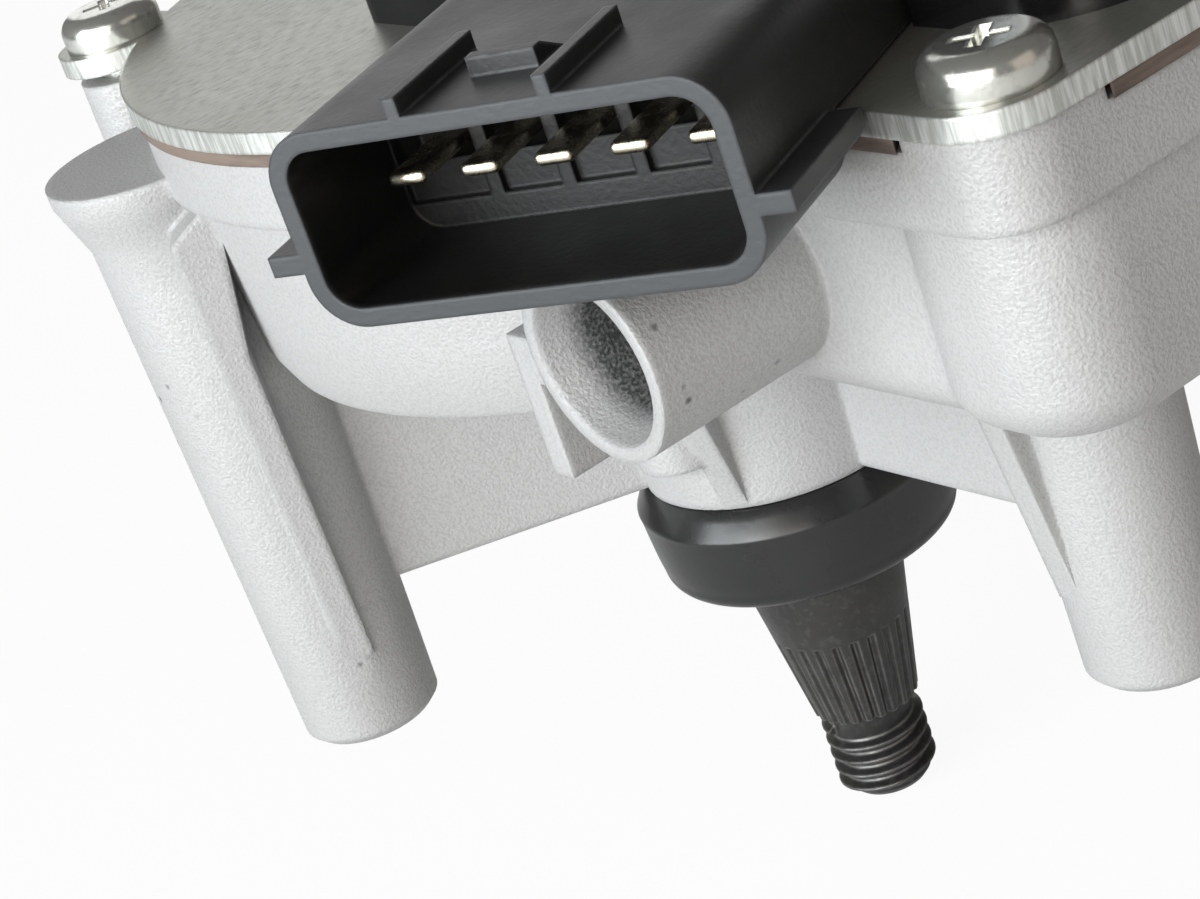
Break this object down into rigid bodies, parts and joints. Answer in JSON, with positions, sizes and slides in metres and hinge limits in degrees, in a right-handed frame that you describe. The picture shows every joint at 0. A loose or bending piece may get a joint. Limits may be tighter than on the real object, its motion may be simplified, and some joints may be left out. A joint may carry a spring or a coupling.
{
  "type": "wiper motor",
  "caption": "Worm-geared direct-current wiper motor: cast gearbox on tapered feet, fluted cone output shaft in a rubber cap, cover with blade connector, round motor can.",
  "frame": {"origin": "on the output shaft's axis, in the plane of the faces of the three mounting feet", "axes": "+X along the motor's axis, from the gearbox towards the motor can; +Z along the output shaft, from its threaded end towards the gearbox cover; +Y away from the worm"},
  "size_m": [0.1662, 0.1071, 0.0904],
  "materials": {
    "gear_housing": "die-cast, satin",
    "shaft_bushes": "sintered bronze, satin",
    "rubber_cap": "semi-gloss",
    "cover_gasket": "fibre, matt",
    "cover_plate": "zinc-plated, satin",
    "cover_screws": "zinc-plated, semi-gloss",
    "connector_housing": "moulded, satin",
    "connector_pins": "tin-plated, satin",
    "terminal_cover": "moulded, gloss",
    "park_contacts": "spring strip, satin",
    "output_shaft": "black oxide, satin",
    "worm_wheel": "moulded, satin",
    "park_ring": "copper strip, satin",
    "shaft_clip": "spring steel, satin",
    "thrust_washers": "ground, satin",
    "armature_shaft": "rolled and ground, semi-gloss",
    "rotor_core": "lacquered laminations, satin",
    "rotor_windings": "enamelled copper, gloss",
    "commutator": "turned copper, satin",
    "bearing_outer_ring": "ground, polished",
    "bearing_inner_ring": "ground, polished",
    "bearing_balls": "polished",
    "worm_end_bush": "sintered bronze, satin",
    "rear_bush": "sintered bronze, satin",
    "thrust_disc": "moulded, satin",
    "motor_can": "painted, semi-gloss",
    "magnets": "ferrite, matt",
    "brush_holder": "moulded, satin",
    "brushes": "graphite, matt",
    "brush_springs": "spring wire, satin",
    "choke_coils": "enamelled copper, gloss",
    "motor_screws": "zinc-plated, semi-gloss"
  },
  "bodies": {
    "gearbox": {"gear_housing": "gear_housing", "shaft_bushes": "shaft_bushes", "rubber_cap": "rubber_cap", "cover_gasket": "cover_gasket", "cover_plate": "cover_plate", "cover_screws": "cover_screws", "connector_housing": "connector_housing", "connector_pins": "connector_pins", "terminal_cover": "terminal_cover", "park_contacts": "park_contacts", "thrust_washers": "thrust_washers", "bearing_outer_ring": "bearing_outer_ring", "bearing_balls": "bearing_balls", "worm_end_bush": "worm_end_bush", "rear_bush": "rear_bush", "thrust_disc": "thrust_disc", "motor_can": "motor_can", "magnets": "magnets", "brush_holder": "brush_holder", "brushes": "brushes", "brush_springs": "brush_springs", "choke_coils": "choke_coils", "motor_screws": "motor_screws"},
    "armature": {"armature_shaft": "armature_shaft", "rotor_core": "rotor_core", "rotor_windings": "rotor_windings", "commutator": "commutator", "bearing_inner_ring": "bearing_inner_ring"},
    "output": {"output_shaft": "output_shaft", "worm_wheel": "worm_wheel", "park_ring": "park_ring", "shaft_clip": "shaft_clip"}
  },
  "joints": [
    {"name": "armature_spin", "type": "hinge", "parent": "gearbox", "child": "armature", "pos_m": [0, -0.0365, 0.04], "axis": [1, 0, 0], "continuous": true},
    {"name": "output_spin", "type": "hinge", "parent": "gearbox", "child": "output", "pos_m": [0, 0, 0], "axis": [0, 0, 1], "continuous": true}
  ],
  "couplings": [
    {"joint": "output_spin", "follows": "armature_spin", "ratio": -0.016667}
  ]
}
